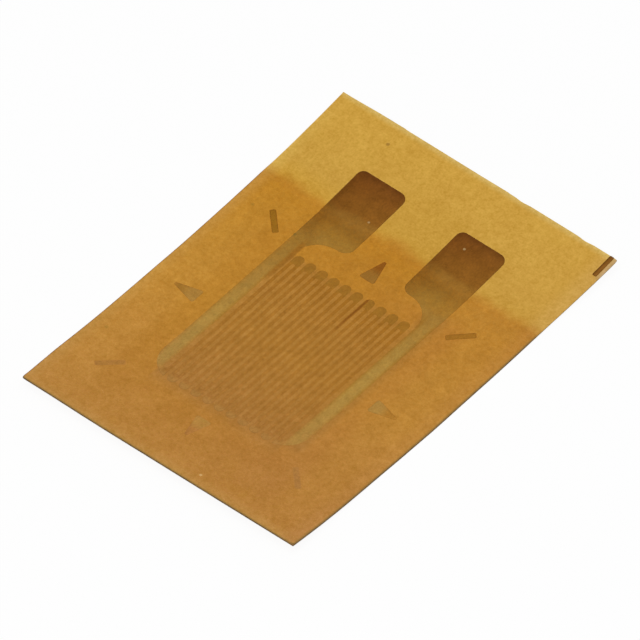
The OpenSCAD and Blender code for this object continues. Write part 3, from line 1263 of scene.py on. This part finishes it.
# %% Tones of the strokes
STROKE_TONES = [
    (-4.46, tint(187, 149, 72)),
    (-2.22, tint(186, 147, 63)),
    (2.22, tint(160, 129, 49)),
    (4.46, tint(130, 114, 30)),
]


def stroke_tone(tree, place, x, y):
    """Dark brown at the tab end's left, paler to the right and to the far end."""
    return tones(tree, slant(tree, x, y), STROKE_TONES)


print(len(STROKE_TONES), "tones for the strokes")

# %% Finishes of the marks
FAR_TRIANGLE_EDGE = tint(150, 108, 46)
FAR_STROKE_EDGE = tint(202, 157, 70)
triangle_edges = ((-3.5, FAR_TRIANGLE_EDGE, 0.3), (3.5, SLOPE_DARK, 0.46))
stroke_edges = ((-3.5, FAR_STROKE_EDGE, 0.6), (3.5, SLOPE_DARK, 0.46))
triangle_foil = foil_finish("triangle_foil", trim_tone, triangle_tone, triangle_edges)
stroke_foil = foil_finish("stroke_foil", trim_tone, stroke_tone, stroke_edges)
print("made", triangle_foil.name, "and", stroke_foil.name)

# %% Triangles, strokes and trim mark
triangle_slope = 0.03
stroke_slope = 0.04
corner_steps = 3
for node, corners in mark_corners.items():
    if node in STROKES:
        finish, slope = stroke_foil, stroke_slope
    else:
        finish, slope = triangle_foil, triangle_slope
    outline = rounded(corners, corner_steps)
    mark = link_piece(node + "_foil", etched_mesh(outline, slope), [finish])
    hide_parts(node)
    print(mark.name, len(mark.data.polygons), "faces")

# %% [markdown]
# ## The cover film's finish
# The cover is a second, thinner film over the grid. Together with the glue under it, it tints all
# below it orange. Glass-like refraction would be true to nature, but in a layer this thin it shows
# nothing and makes noise. Alpha is the simple way: the cover's own orange is mixed half and half
# with what lies under it, and at the front edge the share fades to nothing.

# %% Tones and specks of the cover film
# Painted sheen: the cover's orange, its own colour, turns greyer and bluer towards the far end, a
# painted reflection of the surroundings.
COVER_TONES = [
    (-5.0, tint(160, 86, 52)),
    (-2.5, tint(169, 96, 42)),
    (0.0, tint(177, 105, 30)),
    (1.0, tint(177, 105, 30)),
    (2.7, tint(175, 99, 19)),
    (4.4, tint(172, 92, 2)),
]
PATCH_BROWN = tint(150, 76, 14)
DARK_SPECKS = [(-3.99, 3.42, 0.07), (-2.46, 3.31, 0.06), (-4.1, -2.4, 0.08)]
SPECK_BROWN = tint(100, 46, 2)
SPECK_PALE = tint(230, 190, 140)
print(len(COVER_TONES), "tones along the cover film and", len(DARK_SPECKS), "dark specks")

# %% Finish of the cover film
cover_mottle = 0.42
cover_rim = 0.85
cover_share = 0.5
orange_cover, tree, shader = new_finish("orange_cover")
place, x, y = place_on_gauge(tree)
colour = mottled(tree, place, tones(tree, y, COVER_TONES), cover_mottle)
patches = ramp(tree, grain(tree, place, 1.3, 3.0), 0.56, 0.74)
colour = blend(tree, calc(tree, "MULTIPLY", patches, 0.35), colour, PATCH_BROWN)
for speck_x, speck_y, radius in DARK_SPECKS:
    spot = calc(tree, "MULTIPLY", speck(tree, place, speck_x, speck_y, radius), 0.7)
    colour = blend(tree, spot, colour, SPECK_BROWN)
spot = calc(tree, "MULTIPLY", speck(tree, place, 1.31, -5.01, 0.06), 0.8)
colour = blend(tree, spot, colour, SPECK_PALE)
colour = rim_band(tree, colour, cover_rim)
share = calc(tree, "MULTIPLY", under_cover(tree, place, x, y), cover_share)
tree.links.new(share, shader.inputs["Alpha"])
film_surface(tree, shader, place, colour)
print("made", orange_cover.name, "with", len(tree.nodes), "nodes")

# %% [markdown]
# ## The cover film
# The sheet is flush with the backing on three sides. At the front it tapers to nothing, as the
# pressed-out glue does, so no step shows where the colour fades. A second copy of the backing, moved
# up, would end in a wall there. The sheet neither shades nor tints the light on its way down,
# because its orange is already mixed in by its alpha.

# %% Cover film
front_end = (cover_front + 0.5) * MM
taper_from = (cover_front - 0.35) * MM


def cover_height(x, y):
    """The cover's upper face, tapering at the front until it dips into the backing."""
    share = min(1.0, max(0.0, (front_end - y) / (front_end - taper_from)))
    low = backing_top - bite / 2
    return curl_height(y, low + (cover_top - low) * share * share * (3 - 2 * share))


columns = spaced(film_low.x, film_high.x, sheet_step)
rows = spaced(film_low.y, front_end, sheet_step)
sheet = sheet_mesh(columns, rows, lambda x, y: curl_height(y, backing_top - bite), cover_height)
cover = link_piece("cover_sheet", sheet, [orange_cover, cut_edge])
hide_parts("cover_film")
cover.visible_shadow = False
cover.visible_diffuse = False
print(cover.name, len(cover.data.polygons), "faces")

# %% [markdown]
# ## Table and backdrop
# The gauge lies on a plain white table. Stronger lamps could make the table white, but they would
# bleach the gauge as well. So the table's material is a matt white that, for the camera and in
# reflections, is mostly a plain white glow: the background is white while a soft shadow of the gauge
# stays.

# %% White table
table_half = 0.5
table_z = -0.002 * MM
table_mesh = bpy.data.meshes.new("table")
corners = [(-table_half, -table_half), (table_half, -table_half)]
corners += [(table_half, table_half), (-table_half, table_half)]
table_mesh.from_pydata([(cx, cy, table_z) for cx, cy in corners], [], [(0, 1, 2, 3)])
table = bpy.data.objects.new("table", table_mesh)
bpy.context.scene.collection.objects.link(table)
print("table", 2 * table_half, "m wide")

# %% White seen from the camera
table_white = (0.9, 0.9, 0.9, 1)
glow_share = 0.93


def seen_directly(tree):
    """One for rays of the camera and of reflections, zero for rays that only carry light."""
    path = add_node(tree, "ShaderNodeLightPath")
    seen = calc(tree, "MAXIMUM", path.outputs["Is Camera Ray"], path.outputs["Is Glossy Ray"])
    return calc(tree, "MAXIMUM", seen, path.outputs["Is Transmission Ray"])


white_table, tree, shader = new_finish("white_table")
shader.inputs["Base Color"].default_value = table_white
shader.inputs["Roughness"].default_value = 0.9
shader.inputs["Specular IOR Level"].default_value = 0.0
glow = add_node(tree, "ShaderNodeEmission", {"Color": (1, 1, 1, 1), "Strength": 1.0})
share = calc(tree, "MULTIPLY", seen_directly(tree), glow_share)
both = add_node(tree, "ShaderNodeMixShader", {0: share})
tree.links.new(shader.outputs[0], both.inputs[1])
tree.links.new(glow.outputs[0], both.inputs[2])
tree.links.new(both.outputs[0], tree.nodes["Material Output"].inputs["Surface"])
table_mesh.materials.append(white_table)
print("made", white_table.name)

# %% [markdown]
# ## Light
# Soft even studio light: a pale surrounding and one large lamp above and in front. Several small
# lamps would be another way, but each would draw a shadow of its own. The surrounding and the lamp
# are just strong enough for a white card facing up to render white, and a colour about as written.
# Below the horizon the camera sees the surrounding as plain white, so that the picture stays white
# where a very low camera looks past the table. Light Path keeps that from lighting the gauge.

# %% World
sky_level = 0.4
world = bpy.data.worlds.new("studio")
world.use_nodes = True
tree = world.node_tree
sky = tree.nodes["Background"]
sky.inputs["Color"].default_value = (1, 1, 1, 1)
direction = add_node(tree, "ShaderNodeTexCoord").outputs["Generated"]
height = add_node(tree, "ShaderNodeSeparateXYZ", {0: direction}).outputs[2]
below = calc(tree, "MULTIPLY", ramp(tree, height, 0.0, -0.02), seen_directly(tree))
level = calc(tree, "MULTIPLY_ADD", below, 1 - sky_level, sky_level)
tree.links.new(level, sky.inputs["Strength"])
bpy.context.scene.world = world
print("surrounding at", sky_level, "of white")

# %% Lamp
lamp_data = bpy.data.lights.new("softbox", "AREA")
lamp_data.size = 0.3
lamp_data.energy = 0.78
softbox = bpy.data.objects.new("softbox", lamp_data)
softbox.location = (0.06, -0.10, 0.30)
softbox.rotation_mode = "QUATERNION"
softbox.rotation_quaternion = (-softbox.location).to_track_quat("-Z", "Y")
bpy.context.scene.collection.objects.link(softbox)
bpy.context.scene.view_settings.view_transform = "Standard"
print("softbox", lamp_data.energy, "W")

# %% [markdown]
# ## Camera
# The picture has no perspective to speak of: opposite edges of the film stay parallel. A camera far
# away with a long lens would show that nearly, and an orthographic one shows it exactly. Its
# direction comes from the angles of the film's edges in the picture, and its scale from their length.

# %% Directions of the picture
azimuth = math.radians(39.982)
elevation = math.radians(47.491)
back = Vector((
    math.sin(azimuth) * math.cos(elevation),
    -math.cos(azimuth) * math.cos(elevation),
    math.sin(elevation),
))
right = Vector((math.cos(azimuth), math.sin(azimuth), 0))
up = back.cross(right)
print("camera looks down by", round(math.degrees(elevation), 1), "degrees")

# %% Camera
image_px = 640
px_per_metre = 38214.4
picture_width = image_px / px_per_metre
aim_right = 0.90458
aim_up = 0.83196
camera_away = 0.1
camera_data = bpy.data.cameras.new("camera")
camera_data.type = "ORTHO"
camera_data.ortho_scale = picture_width
camera_data.clip_start = 0.001
camera_data.clip_end = 2
camera = bpy.data.objects.new("camera", camera_data)
camera.location = right * aim_right * MM + up * aim_up * MM + back * camera_away
camera.rotation_mode = "QUATERNION"
camera.rotation_quaternion = (-back).to_track_quat("-Z", "Y")
bpy.context.scene.collection.objects.link(camera)
bpy.context.scene.camera = camera
print("picture is", round(picture_width / MM, 2), "mm wide")
